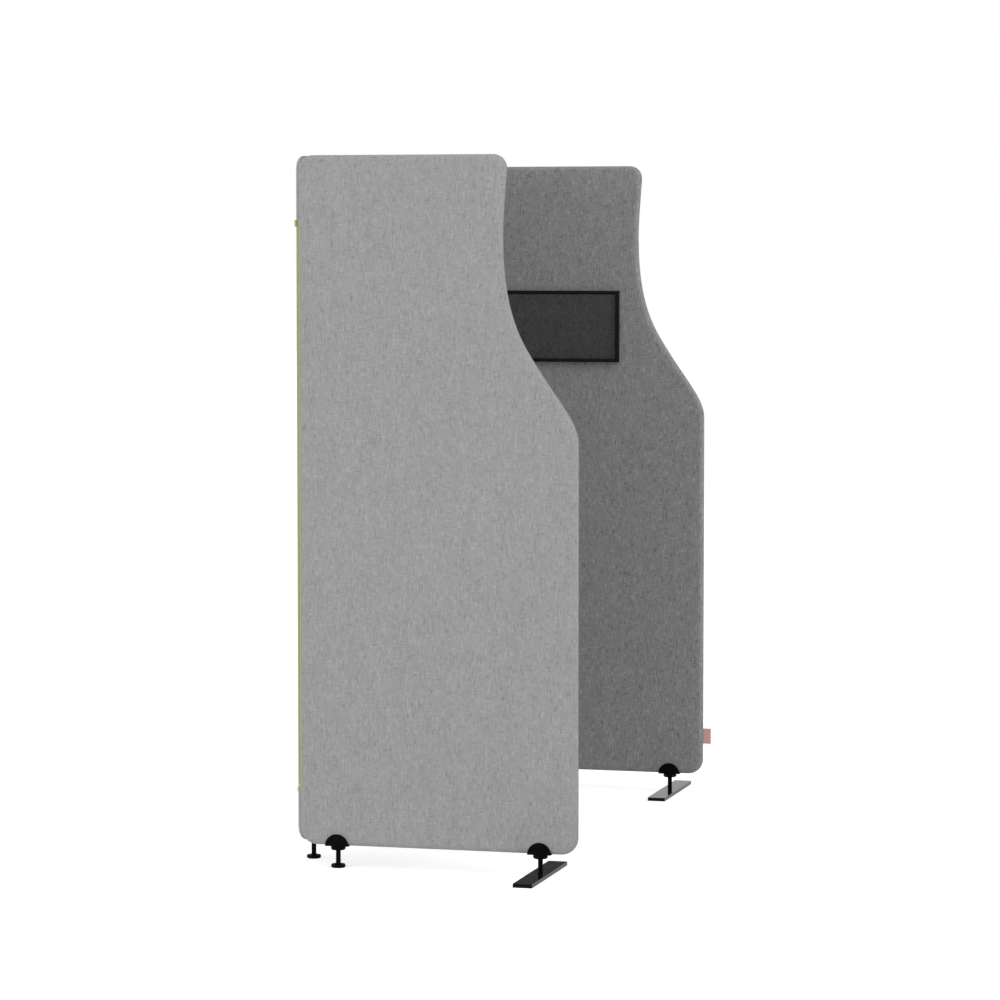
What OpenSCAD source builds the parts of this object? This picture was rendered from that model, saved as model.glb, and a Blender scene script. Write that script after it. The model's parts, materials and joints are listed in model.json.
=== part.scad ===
// Acoustic divider screen: a three-sided nook of four fabric-covered panels that open-end zips
// join into one run, standing on clamp feet with levelling glides and two flat stabiliser bars.
// The nook opens towards -Y, the two side panels stand at -X and +X, and the floor is z = 0.

/* [Panels] */
// Height of every panel, bottom edge to top edge
panel_h = 1627; // [1550:1:1750]
// Thickness of a panel over its fabric
panel_t = 25; // [22:0.5:28]
// Width of a side panel below its wave
side_w = 676; // [650:1:720]
// Width of each of the two back panels
back_w = 660.5; // [600:0.5:740]
// Corner radius at the bottom of the panels
corner_r = 40; // [30:1:60]
// Corner radius at the top of the panels
top_corner_r = 33; // [25:1:50]
// Floor to the bottom edge of the panels
foot_h = 53; // [50:1:70]

/* [Wave edge of a side panel] */
// Height at which the wave leaves the full width
wave_foot_z = 957; // [900:1:1000]
// Height of the steepest point of the wave
wave_mid_z = 1133; // [1080:1:1180]
// Panel width at the steepest point
wave_mid_w = 578; // [560:1:600]
// Lean of the wave from upright at the steepest point, in degrees
wave_lean = 33; // [20:1:45]
// Height of the neck, where the panel is narrowest
neck_z = 1437; // [1350:1:1480]
// Width of the panel at the neck
neck_w = 495; // [470:1:520]
// Width of the panel at its top
top_w = 504; // [480:1:540]

/* [Panel build-up] */
// Thickness of the fabric cover with its bonded felt
cover_t = 2; // [1.5:0.1:3]
// Width of the stiles and rails of the inner frame
rail_w = 45; // [35:1:60]
// Corner radius of the frame's windows
window_r = 12; // [8:1:20]
// Height of the middle rail of the inner frames
mid_rail_z = 934; // [800:1:950]

/* [Zips] */
// Bottom of the zips above the bottom edge of the panels
zip_bottom = 124; // [100:1:160]
// Top of the zips below the top edge of the panels
zip_drop = 148; // [120:1:220]
// Free tape from a side panel's edge to the corner chain
side_gap = 7; // [6.5:0.5:12]
// Free tape from a back panel's edge to the corner chain
back_gap = 25; // [20:0.5:32]
// Free tape from a back panel's edge to the middle chain
middle_gap = 13; // [12:0.5:20]
// Thickness of the zip tape
tape_t = 1; // [0.8:0.1:1.2]
// Radius of the bead at each tape's edge
bead_r = 1.2; // [1:0.05:1.3]
// Length of a zip slider
slider_len = 16; // [12:1:24]
// Length of a slider's pull tab below its pin
pull_len = 24; // [18:1:36]

/* [Feet] */
// Distance of each foot from its panel's end
foot_inset = 91; // [80:1:110]
// Radius of the half-moon clamp jaws
jaw_r = 28.5; // [26:0.5:34]
// Thickness of a jaw beside the panel
jaw_t = 3.5; // [3:0.25:5]
// Drop of the jaws' flat base below the panel
jaw_drop = 1; // [0.8:0.1:3]
// Diameter of the round collar under the jaws
collar_d = 34.6; // [34:0.2:42]
// Height of the collar
collar_h = 9.7; // [9.7:0.1:14]
// Gap between the two jaws of a foot, which their screws draw onto the panel
jaw_gap = 1.6; // [1:0.1:3]
// Diameter of the stems
stem_d = 11.5; // [10.5:0.5:14]
// Diameter of a disc glide
glide_d = 34; // [33:0.2:50]
// Height of a disc glide
glide_h = 9; // [8:0.5:12]
// Length of a stabiliser bar
bar_len = 336; // [280:1:420]
// Width of a stabiliser bar
bar_w = 46; // [36:1:60]
// Thickness of a stabiliser bar
bar_t = 9; // [6:0.5:10]

/* [Mesh pocket and tab] */
// Width of the pocket
pocket_w = 397; // [340:1:400]
// Height of the pocket
pocket_h = 191; // [160:1:240]
// Bottom of the pocket above the bottom edge of the panel
pocket_z = 1103.5; // [1060:0.5:1180]
// Depth that the pocket stands off the panel
pocket_d = 12; // [10:0.5:20]
// Width of the pocket's side binding
binding_w = 10.6; // [8:0.2:14]
// Width of the pocket's top binding
top_binding_w = 10; // [8:0.2:14]
// Width of the pocket's bottom binding
foot_binding_w = 8.5; // [7:0.2:14]
// Height of the bare fabric tab
tab_h = 41; // [30:1:60]
// Bottom of the tab above the bottom edge of the panel
tab_z = 82; // [60:1:200]
// Length of the tab out of the panel's edge
tab_len = 21; // [15:0.5:30]

/* [Hidden] */

// Overrun of a cut past the face it opens
over = 1;
// Seating clearance between neighbouring pieces
seat = 0.3;
// Running clearance of a pin in its hole, on the radius
run = 0.05;

// Steps round the panels' rounded edges, and round their corners
edge_steps = 8;
lining_steps = 6;
corner_steps = 6;
// Steps along each of the wave's three curves
wave_steps = 7;
// Handles of the three curves, each a share of the height between its ends
wave_handle_shares = [[0.27, 0.57], [0.23, 0.6], [0.33, 0.07]];

edge_r = panel_t / 2;
lining_r = edge_r - cover_t;
frame_r = lining_r - seat;
// Distance between the two side panels' middle planes
span = 2 * (back_w + back_gap + middle_gap);

// Height of the zips' top, and distance of the bead's centre from the seam's axis
zip_top = panel_h - zip_drop;
bead_x = 2.6;
// Sewn flaps of the tape round the panel's edge: clearance, thickness, half angle
flap_fit = 0.1;
flap_t = 0.6;
flap_angle = 25;
// Top stop, insertion pin and retainer box
stop_h = 3;
stop_t = 2.4;
box_r = 3.2;
box_h = 12;
box_t = 2.6;
pin_r = 1;
arm_h = 7;
arm_reach = 4;

// Slider plates: inner and outer radius, the post between them, how far round they reach from the
// middle, and the angle that they leave free beside a tape
plate_in = 4.2;
plate_out = 5.6;
web_t = 0.8;
plate_reach = 30;
plate_clear = 15;
// Directions from a seam's axis in the floor plane: into the nook, and to the slider's lug
corner_inner_angle = -45;
corner_lug_angle = -35;
middle_inner_angle = -90;
// Lug on the slider, and the pull's fork, pin and blade
lug_t = 1.4;
lug_h = 4.4;
lug_reach = 2.2;
lug_end = 1.8;
pull_pin_r = 0.95;
fork_t = 1.2;
eye_r = 1.9;
blade_w = 5;
blade_t = 1.6;
blade_start = 3.2;
blade_hole_r = 1.3;
blade_hole_z = 5;

// Jaw details
jaw_edge = 1;
collar_edge = 2.2;
counterbore_h = 2;
stud_r = 4;
stud_gap = 0.3;
stud_end = 1.2;
spigot_h = 4;
nut_af = 13;
nut_h = 6.3;
nut_lift = 0.7;
// Clamp screws that pull the two jaws together through the collar
clamp_x = 10.8;
clamp_z = 5.8;
clamp_r = 1.75;
clamp_head_r = 3;
clamp_head_h = 2.4;
clamp_head_y = 9;
clamp_reach = 8;

// Disc glide details
glide_base_edge = 2;
glide_top_edge = 1.4;
glide_dish = 0.8;
glide_hub_r = 8.5;
// Bar details
bar_corner_r = 2;
bar_screw_r = 3;
bar_screw_head_r = 6;
bar_screw_head_h = 3;
bar_screw_recess = 0.5;
bar_screw_bite = 14;

// Pocket details
gusset_t = 1.2;
mesh_t = 1;
binding_t = 1.6;
net_cols = 17;
net_rows = 17;
net_strand = 2;
// Tab details
tab_layer = 0.8;
tab_fold = 0.4;

// Frame of the whole: the seams' Y, so that the origin is under the middle of the box
front_reach = side_gap + side_w + tab_len + flap_fit;
rear_reach = glide_d / 2;
seam_y = (front_reach - rear_reach) / 2;

cloth = [0.62, 0.62, 0.61];
plywood = [0.78, 0.66, 0.48];
felt = [0.3, 0.31, 0.33];
zip_green = [0.6, 0.63, 0.47];
zip_trim = [0.5, 0.53, 0.39];
black = [0.04, 0.04, 0.04];
steel = [0.6, 0.6, 0.62];
tab_pink = [0.71, 0.55, 0.56];

// Outline points are [x, z, normal x, normal z], anticlockwise round the panel's face
function arc(cx, cz, r, from) = [
    for (i = [0 : corner_steps])
        let (a = from + 90 * i / corner_steps)
        [cx + r * cos(a), cz + r * sin(a), cos(a), sin(a)]
];

function bezier(a, b, c, d, t) =
    pow(1 - t, 3) * a + 3 * pow(1 - t, 2) * t * b + 3 * (1 - t) * t * t * c + t * t * t * d;

function slope(a, b, c, d, t) =
    3 * pow(1 - t, 2) * (b - a) + 6 * (1 - t) * t * (c - b) + 3 * t * t * (d - c);

// One curve of the wave, from point a leaning by la to point d leaning by ld
function wave_curve(a, la, d, ld, shares) =
    let (
        rise = d[1] - a[1],
        b = a + shares[0] * rise * [-sin(la), cos(la)],
        c = d - shares[1] * rise * [-sin(ld), cos(ld)]
    )
    [
        for (i = [0 : wave_steps - 1])
            let (
                t = i / wave_steps,
                p = bezier(a, b, c, d, t),
                s = slope(a, b, c, d, t) / norm(slope(a, b, c, d, t))
            )
            [p[0], p[1], s[1], -s[0]]
    ];

wave_foot = [side_w, wave_foot_z];
wave_mid = [wave_mid_w, wave_mid_z];
wave_neck = [neck_w, neck_z];
wave_head = [top_w, panel_h - top_corner_r];

wave_outline = concat(
    arc(corner_r, corner_r, corner_r, 180),
    arc(side_w - corner_r, corner_r, corner_r, 270),
    wave_curve(wave_foot, 0, wave_mid, wave_lean, wave_handle_shares[0]),
    wave_curve(wave_mid, wave_lean, wave_neck, 0, wave_handle_shares[1]),
    wave_curve(wave_neck, 0, wave_head, 0, wave_handle_shares[2]),
    arc(top_w - top_corner_r, panel_h - top_corner_r, top_corner_r, 0),
    arc(top_corner_r, panel_h - top_corner_r, top_corner_r, 90)
);

plain_outline = concat(
    arc(corner_r, corner_r, corner_r, 180),
    arc(back_w - corner_r, corner_r, corner_r, 270),
    arc(back_w - top_corner_r, panel_h - top_corner_r, top_corner_r, 0),
    arc(top_corner_r, panel_h - top_corner_r, top_corner_r, 90)
);

// A slab with fully rounded edges: the outline set in by e, its edge a half circle of radius r
module rounded_slab(outline, e, r, steps) {
    n = len(outline);
    points = [
        for (k = [0 : steps])
            let (a = -90 + 180 * k / steps)
            for (p = outline)
                [p[0] - (e + r * (1 - cos(a))) * p[2], r * sin(a), p[1] - (e + r * (1 - cos(a))) * p[3]]
    ];
    sides = [
        for (k = [0 : steps - 1])
            for (i = [0 : n - 1])
                let (j = (i + 1) % n)
                each [
                    [k * n + i, (k + 1) * n + j, (k + 1) * n + i],
                    [k * n + i, k * n + j, (k + 1) * n + j]
                ]
    ];
    caps = [[for (i = [0 : n - 1]) n - 1 - i], [for (i = [0 : n - 1]) steps * n + i]];
    polyhedron(points = points, faces = concat(sides, caps), convexity = 6);
}

// A rounded rectangle from [x0, z0] to [x1, z1] in the panel's face, through its thickness
module window_block(x0, z0, x1, z1, r, half_t) {
    rotate([90, 0, 0]) translate([0, 0, -half_t]) linear_extrude(2 * half_t) {
        translate([x0 + r, z0]) square([x1 - x0 - 2 * r, z1 - z0]);
        translate([x0, z0 + r]) square([x1 - x0, z1 - z0 - 2 * r]);
        for (x = [x0 + r, x1 - r], z = [z0 + r, z1 - r]) translate([x, z]) circle(r, $fn = 48);
    }
}

// The frame's two windows, each drawn in by a clearance, for a panel whose upper window ends at upper_x
module windows(lower_x, upper_x, inset, half_t) {
    window_block(rail_w + inset, rail_w + inset, lower_x - inset,
        mid_rail_z - rail_w / 2 - inset, window_r - inset, half_t);
    window_block(rail_w + inset, mid_rail_z + rail_w / 2 + inset, upper_x - inset,
        panel_h - rail_w - inset, window_r - inset, half_t);
}

module panel_cover(outline) {
    color(cloth) difference() {
        rounded_slab(outline, 0, edge_r, edge_steps);
        rounded_slab(outline, cover_t, lining_r, lining_steps);
    }
}

module panel_frame(outline, lower_x, upper_x) {
    color(plywood) difference() {
        rounded_slab(outline, cover_t + seat, frame_r, lining_steps);
        windows(lower_x, upper_x, 0, frame_r + over);
    }
}

module panel_core(lower_x, upper_x) {
    color(felt) windows(lower_x, upper_x, seat, frame_r);
}

module side_cover() {
    panel_cover(wave_outline);
}

module side_frame() {
    panel_frame(wave_outline, side_w - rail_w, neck_w - rail_w);
}

module side_core() {
    panel_core(side_w - rail_w, neck_w - rail_w);
}

module back_cover() {
    panel_cover(plain_outline);
}

module back_frame() {
    panel_frame(plain_outline, back_w - rail_w, back_w - rail_w);
}

module back_core() {
    panel_core(back_w - rail_w, back_w - rail_w);
}

// Places of the panels: x runs along the panel from its first seam's axis, z from its bottom edge
module in_left_side() {
    translate([-span / 2, seam_y, foot_h]) rotate([0, 0, -90]) children();
}

module in_right_side() {
    translate([span / 2, seam_y, foot_h]) rotate([0, 0, -90]) children();
}

module in_back_left() {
    translate([-span / 2, seam_y, foot_h]) children();
}

module in_back_right() {
    translate([0, seam_y, foot_h]) children();
}

module past(gap) {
    translate([gap, 0, 0]) children();
}

// Turns a piece made for a panel's first seam round to its last one
module at_far_seam(length) {
    translate([length, 0, 0]) rotate([0, 0, 180]) children();
}

// The woven tape: a flat strip from the bead to the panel's edge, with two sewn flaps on the edge
module tape_section(gap) {
    centre = gap + edge_r;
    flap_in = edge_r + flap_fit;
    translate([bead_x, -tape_t / 2]) square([gap - flap_fit - flap_t / 2 - bead_x, tape_t]);
    intersection() {
        translate([centre, 0]) difference() {
            circle(flap_in + flap_t, $fn = 96);
            circle(flap_in, $fn = 96);
        }
        polygon([
            [centre, 0],
            [centre - panel_t, panel_t * tan(flap_angle)],
            [centre - panel_t, -panel_t * tan(flap_angle)]
        ]);
    }
}

// Half of an open-end zip whose panel edge lies gap away from the seam's axis along +x
module zip_half(gap, carries_box) {
    chain_bottom = zip_bottom + box_h + arm_h + 2 * seat;
    color(zip_green) difference() {
        translate([0, 0, zip_bottom]) linear_extrude(zip_top - zip_bottom) tape_section(gap);
        // The tape that takes the pin is cut back round the other half's box
        if (!carries_box)
            translate([0, 0, zip_bottom - over]) cylinder(h = box_h + seat + over, r = box_r + seat, $fn = 48);
    }
    // Bead along the tape's edge, closed over it from both sides
    color(zip_green) translate([0, 0, chain_bottom]) linear_extrude(zip_top - stop_h - chain_bottom)
        difference() {
            translate([bead_x, 0]) circle(bead_r, $fn = 24);
            translate([bead_x, -tape_t / 2]) square([2 * bead_r, tape_t]);
        }
    // Top stop, clamped over the tape
    color(zip_trim) translate([bead_x - bead_r, 0, zip_top - stop_h]) difference() {
        translate([0, -stop_t / 2, 0]) cube([2 * bead_r, stop_t, stop_h]);
        translate([bead_r, -tape_t / 2, -over]) cube([2 * bead_r, tape_t, stop_h + 2 * over]);
    }
    if (carries_box) {
        color(zip_trim) retainer_box();
    } else {
        color(zip_trim) insertion_pin(chain_bottom);
    }
}

// Retainer box round the seam's axis, with the bore that takes the other half's pin
module retainer_box() {
    translate([0, 0, zip_bottom]) difference() {
        union() {
            cylinder(h = box_h, r = box_r, $fn = 48);
            translate([0, -box_t / 2, 0]) cube([bead_x + bead_r + arm_reach / 2, box_t, box_h]);
        }
        translate([0, 0, -over]) cylinder(h = box_h + 2 * over, r = pin_r + run, $fn = 48);
        translate([bead_x, -tape_t / 2, -over]) cube([2 * box_r, tape_t, box_h + 2 * over]);
    }
}

// Insertion pin on the seam's axis, held by an arm above the retainer box
module insertion_pin(chain_bottom) {
    translate([0, 0, zip_bottom]) cylinder(h = chain_bottom - seat - zip_bottom, r = pin_r, $fn = 48);
    difference() {
        translate([0, -pin_r, chain_bottom - seat - arm_h])
            cube([bead_x + arm_reach / 2, 2 * pin_r, arm_h]);
        translate([bead_x, -tape_t / 2, zip_bottom]) cube([2 * arm_reach, tape_t, 2 * arm_h + box_h]);
    }
}

// Slider round the chain: two curved plates and the post between the beads. Angles are in the floor
// plane; the half that carries the slider leaves the seam at carrier_angle
module zip_slider(inner_angle, lug_angle, carrier_angle) {
    reach = abs(carrier_angle - inner_angle) - plate_clear;
    color(zip_trim) translate([0, 0, zip_top - stop_h - seat - slider_len]) {
        rotate([0, 0, inner_angle]) {
            slider_plate(carrier_angle > inner_angle ? [-plate_reach, reach] : [-reach, plate_reach]);
            translate([-(plate_in + plate_out) / 2, -web_t / 2, 0])
                cube([plate_in + plate_out, web_t, slider_len]);
        }
        rotate([0, 0, inner_angle + 180])
            slider_plate(carrier_angle > inner_angle ? [-outer_reach(reach), plate_reach]
                : [-plate_reach, outer_reach(reach)]);
        rotate([0, 0, lug_angle]) slider_lug();
    }
}

// The plate outside the nook reaches as far towards the carrying half, where the seam is straight
function outer_reach(reach) = max(reach, plate_reach);

// One plate, from sweep[0] to sweep[1] degrees round the seam's axis
module slider_plate(sweep) {
    linear_extrude(slider_len) intersection() {
        difference() {
            circle(plate_out, $fn = 72);
            circle(plate_in, $fn = 72);
        }
        polygon(concat([[0, 0]], [
            for (a = [sweep[0], (sweep[0] + sweep[1]) / 2, sweep[1]]) 2 * plate_out * [cos(a), sin(a)]
        ]));
    }
}

module slider_lug() {
    difference() {
        translate([(plate_in + plate_out) / 2, -lug_t / 2, (slider_len - lug_h) / 2])
            cube([(plate_out - plate_in) / 2 + lug_reach + lug_end, lug_t, lug_h]);
        translate([plate_out + lug_reach, 0, slider_len / 2]) rotate([90, 0, 0])
            cylinder(h = 2 * lug_t, r = pull_pin_r + run, center = true, $fn = 32);
    }
}

// Pull tab that hangs on the slider's lug by a pin between two fork cheeks
module zip_pull(lug_angle) {
    cheek_y = lug_t / 2 + seat;
    color(zip_trim) rotate([0, 0, lug_angle])
        translate([plate_out + lug_reach, 0, zip_top - stop_h - seat - slider_len / 2]) {
            rotate([90, 0, 0]) cylinder(h = 2 * (cheek_y + fork_t), r = pull_pin_r, center = true, $fn = 32);
            for (s = [-1, 1]) {
                translate([0, s * (cheek_y + fork_t / 2), 0]) rotate([90, 0, 0])
                    cylinder(h = fork_t, r = eye_r, center = true, $fn = 32);
                translate([-blade_t / 2, s * (cheek_y + fork_t / 2) - fork_t / 2, -blade_start - fork_t])
                    cube([blade_t, fork_t, blade_start + fork_t]);
            }
            difference() {
                translate([-blade_t / 2, -blade_w / 2, -pull_len])
                    cube([blade_t, blade_w, pull_len - blade_start]);
                translate([0, 0, -pull_len + blade_hole_z]) rotate([0, 90, 0])
                    cylinder(h = 2 * blade_t, r = blade_hole_r, center = true, $fn = 32);
            }
        }
}

// One clamp jaw for the +y side of a panel: half-moon cheek, saddle under the edge and half a collar,
// parted from the other jaw by the gap that its screws leave
module jaw(takes_heads) {
    outer_y = edge_r + seat + jaw_t;
    base_z = -jaw_drop - collar_h;
    difference() {
        union() {
            intersection() {
                translate([0, 0, -jaw_drop]) rotate([-90, 0, 0]) rotate_extrude($fn = 96) polygon([
                    [0, 0],
                    [jaw_r, 0],
                    [jaw_r, outer_y - jaw_edge],
                    [jaw_r - jaw_edge, outer_y],
                    [0, outer_y]
                ]);
                translate([-jaw_r, jaw_gap / 2, -jaw_drop]) cube([2 * jaw_r, outer_y, jaw_r]);
            }
            intersection() {
                translate([0, 0, base_z]) rotate_extrude($fn = 96) polygon([
                    [0, 0],
                    [collar_d / 2 - collar_edge, 0],
                    [collar_d / 2, collar_edge],
                    [collar_d / 2, collar_h],
                    [0, collar_h]
                ]);
                translate([-collar_d, jaw_gap / 2, base_z]) cube([2 * collar_d, collar_d, collar_h]);
            }
        }
        // Room for the panel and its rounded bottom edge
        translate([-jaw_r - over, 0, edge_r]) rotate([0, 90, 0])
            cylinder(h = 2 * (jaw_r + over), r = edge_r + seat, $fn = 96);
        translate([-jaw_r - over, -over, edge_r])
            cube([2 * (jaw_r + over), edge_r + seat + over, jaw_r + over]);
        // Counterbore for the stem, pocket for the nut and bore for the stud
        translate([0, 0, base_z - over])
            cylinder(h = counterbore_h + over, r = stem_d / 2 + stud_gap, $fn = 64);
        translate([0, 0, base_z - over])
            cylinder(h = jaw_drop + collar_h + 2 * over, r = stud_r + stud_gap, $fn = 64);
        translate([0, 0, base_z + counterbore_h + nut_lift - seat / 2])
            cylinder(h = nut_h + seat, r = (nut_af + seat) / 2 / cos(30), $fn = 6);
        for (x = [-clamp_x, clamp_x]) translate([x, 0, -clamp_z]) rotate([-90, 0, 0]) {
            if (takes_heads) {
                cylinder(h = collar_d, r = clamp_r + run, $fn = 32);
                translate([0, 0, clamp_head_y]) cylinder(h = collar_d, r = clamp_head_r + seat, $fn = 32);
            } else {
                cylinder(h = clamp_reach + seat, r = clamp_r + run, $fn = 32);
            }
        }
    }
}

// The two feet of a panel stand at foot_inset from its two ends
module at_feet(gap, width) {
    for (x = [gap + foot_inset, gap + width - foot_inset]) translate([x, 0, 0]) children();
}

// A row of jaws for the side of the panel that faces +y or -y
module jaws(gap, width, side, takes_heads) {
    color(black) at_feet(gap, width) rotate([0, 0, side > 0 ? 0 : 180]) jaw(takes_heads);
}

// Two clamp screws and the captive nut of one foot, heads towards the given side
module foot_fasteners(side) {
    for (x = [-clamp_x, clamp_x]) translate([x, 0, -clamp_z]) rotate([side > 0 ? -90 : 90, 0, 0]) {
        translate([0, 0, -clamp_reach]) cylinder(h = clamp_reach + clamp_head_y, r = clamp_r, $fn = 32);
        translate([0, 0, clamp_head_y]) cylinder(h = clamp_head_h, r = clamp_head_r, $fn = 32);
    }
    translate([0, 0, -jaw_drop - collar_h + counterbore_h + nut_lift]) difference() {
        cylinder(h = nut_h, r = nut_af / 2 / cos(30), $fn = 6);
        translate([0, 0, -over]) cylinder(h = nut_h + 2 * over, r = stud_r + run, $fn = 48);
    }
}

module jaw_fasteners(gap, width, side) {
    color(steel) at_feet(gap, width) foot_fasteners(side);
}

// Disc glide on the floor, with a dished top round its hub and a hole for the stud's spigot
module glide_pad() {
    r = glide_d / 2;
    color(black) translate([0, 0, -foot_h]) difference() {
        rotate_extrude($fn = 96) polygon([
            [0, 0],
            [r - glide_base_edge, 0],
            [r, glide_base_edge],
            [r, glide_h - glide_top_edge - glide_dish],
            [r - glide_top_edge, glide_h - glide_dish],
            [glide_hub_r, glide_h - glide_dish],
            [glide_hub_r - glide_dish, glide_h],
            [0, glide_h]
        ]);
        translate([0, 0, glide_h - spigot_h - seat]) cylinder(h = spigot_h + over, r = stud_r + run, $fn = 48);
    }
}

// Stem of a disc glide: spigot, smooth stem and threaded stud in one turned piece
module glide_stud() {
    color(black) {
        translate([0, 0, -foot_h + glide_h - spigot_h]) cylinder(h = 2 * spigot_h, r = stud_r, $fn = 48);
        stem(glide_h);
    }
}

// Smooth stem from a height above the floor up into the collar, and the stud above it
module stem(from_z) {
    shoulder_z = -jaw_drop - collar_h + counterbore_h - seat;
    translate([0, 0, -foot_h + from_z])
        cylinder(h = shoulder_z + foot_h - from_z, r = stem_d / 2, $fn = 64);
    translate([0, 0, shoulder_z - over]) cylinder(h = -stud_end - shoulder_z + over, r = stud_r, $fn = 48);
}

// Stabiliser bar across the panel, with a countersunk hole for its screw
module stabiliser_bar() {
    color(black) translate([0, 0, -foot_h]) difference() {
        linear_extrude(bar_t) {
            square([bar_w - 2 * bar_corner_r, bar_len], center = true);
            square([bar_w, bar_len - 2 * bar_corner_r], center = true);
            for (x = [-1, 1], y = [-1, 1])
                translate([x * (bar_w / 2 - bar_corner_r), y * (bar_len / 2 - bar_corner_r)])
                    circle(bar_corner_r, $fn = 32);
        }
        translate([0, 0, -over]) cylinder(h = bar_t + 2 * over, r = bar_screw_r + seat, $fn = 48);
        translate([0, 0, bar_screw_recess])
            cylinder(h = bar_screw_head_h, r1 = bar_screw_head_r + run, r2 = bar_screw_r + run, $fn = 48);
        translate([0, 0, -over])
            cylinder(h = bar_screw_recess + over, r = bar_screw_head_r + run, $fn = 48);
    }
}

module bar_stem() {
    color(black) difference() {
        stem(bar_t);
        translate([0, 0, -foot_h + bar_t - over])
            cylinder(h = bar_screw_bite + over + seat, r = bar_screw_r + run, $fn = 48);
    }
}

module bar_screw() {
    color(steel) translate([0, 0, -foot_h + bar_screw_recess]) {
        cylinder(h = bar_screw_head_h, r1 = bar_screw_head_r, r2 = bar_screw_r, $fn = 48);
        cylinder(h = bar_t - bar_screw_recess + bar_screw_bite, r = bar_screw_r, $fn = 48);
    }
}

// Places the pocket on the face of the right side panel that looks into the nook
module on_pocket_face() {
    translate([side_gap + neck_w / 2 - pocket_w / 2, -edge_r, pocket_z]) children();
}

// A layer of the pocket: a rectangle of the pocket's face between two depths off the panel
module pocket_layer(x0, z0, x1, z1, from_d, to_d) {
    translate([x0, -to_d, z0]) cube([x1 - x0, to_d - from_d, z1 - z0]);
}

module pocket_gusset() {
    depth = pocket_d - binding_t - mesh_t;
    color(black) on_pocket_face() difference() {
        pocket_layer(0, 0, pocket_w, pocket_h, 0, depth);
        pocket_layer(gusset_t, gusset_t, pocket_w - gusset_t, pocket_h + over, -over, depth + over);
    }
}

// Net with staggered diamond gaps
module pocket_mesh() {
    step_x = (pocket_w - 2 * binding_w) / net_cols;
    step_z = (pocket_h - top_binding_w - foot_binding_w) / (net_rows + 1);
    half_x = step_x / 2 - net_strand / 2;
    half_z = step_z - net_strand / 2;
    color(black) on_pocket_face() translate([0, -pocket_d + binding_t + mesh_t, 0]) rotate([90, 0, 0])
        linear_extrude(mesh_t) difference() {
            square([pocket_w, pocket_h]);
            for (row = [1 : net_rows], col = [0 : net_cols - 1 - row % 2])
                translate([
                    binding_w + (col + 0.5 + 0.5 * (row % 2)) * step_x,
                    foot_binding_w + row * step_z
                ])
                    polygon([[-half_x, 0], [0, -half_z], [half_x, 0], [0, half_z]]);
        }
}

module pocket_binding() {
    color(black) on_pocket_face() difference() {
        pocket_layer(0, 0, pocket_w, pocket_h, pocket_d - binding_t, pocket_d);
        pocket_layer(binding_w, foot_binding_w, pocket_w - binding_w, pocket_h - top_binding_w,
            pocket_d - binding_t - over, pocket_d + over);
    }
}

// Bare tab of doubled fabric, folded at its outer end
module fabric_tab() {
    half = tab_layer + tab_fold / 2;
    color(tab_pink) translate([side_gap + side_w + flap_fit, 0, tab_z]) linear_extrude(tab_h) difference() {
        union() {
            translate([0, -half]) square([tab_len - half, 2 * half]);
            translate([tab_len - half, 0]) circle(half, $fn = 32);
        }
        translate([-over, -tab_fold / 2]) square([tab_len - half + over, tab_fold]);
        translate([tab_len - half, 0]) circle(tab_fold / 2, $fn = 32);
    }
}

back_length = back_gap + back_w + middle_gap;
right_foot_x = side_gap + side_w - foot_inset;
first_side_foot = side_gap + foot_inset;

// Panels
in_left_side() past(side_gap) side_cover();  // left_side_cover
in_left_side() past(side_gap) side_frame();  // left_side_frame
in_left_side() past(side_gap) side_core();  // left_side_core
in_back_left() past(back_gap) back_cover();  // back_left_cover
in_back_left() past(back_gap) back_frame();  // back_left_frame
in_back_left() past(back_gap) back_core();  // back_left_core
in_back_right() past(middle_gap) back_cover();  // back_right_cover
in_back_right() past(middle_gap) back_frame();  // back_right_frame
in_back_right() past(middle_gap) back_core();  // back_right_core
in_right_side() past(side_gap) side_cover();  // right_side_cover
in_right_side() past(side_gap) side_frame();  // right_side_frame
in_right_side() past(side_gap) side_core();  // right_side_core

// Zips
in_left_side() zip_half(side_gap, false);  // left_side_zip_tape
in_back_left() zip_half(back_gap, true);  // back_left_corner_zip_tape
in_back_left() at_far_seam(back_length) zip_half(middle_gap, true);  // back_left_middle_zip_tape
in_back_right() zip_half(middle_gap, false);  // back_right_middle_zip_tape
in_back_right() at_far_seam(back_length) zip_half(back_gap, true);  // back_right_corner_zip_tape
in_right_side() zip_half(side_gap, false);  // right_side_zip_tape
in_back_left() zip_slider(corner_inner_angle, corner_lug_angle, 0);  // left_corner_zip_slider
in_back_left() zip_pull(corner_lug_angle);  // left_corner_zip_pull
in_back_left() past(back_length) zip_slider(middle_inner_angle, middle_inner_angle, -180);  // middle_zip_slider
in_back_left() past(back_length) zip_pull(middle_inner_angle);  // middle_zip_pull
in_back_right() past(back_length) zip_slider(-180 - corner_inner_angle, -180 - corner_lug_angle, -180);  // right_corner_zip_slider
in_back_right() past(back_length) zip_pull(-180 - corner_lug_angle);  // right_corner_zip_pull

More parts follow.
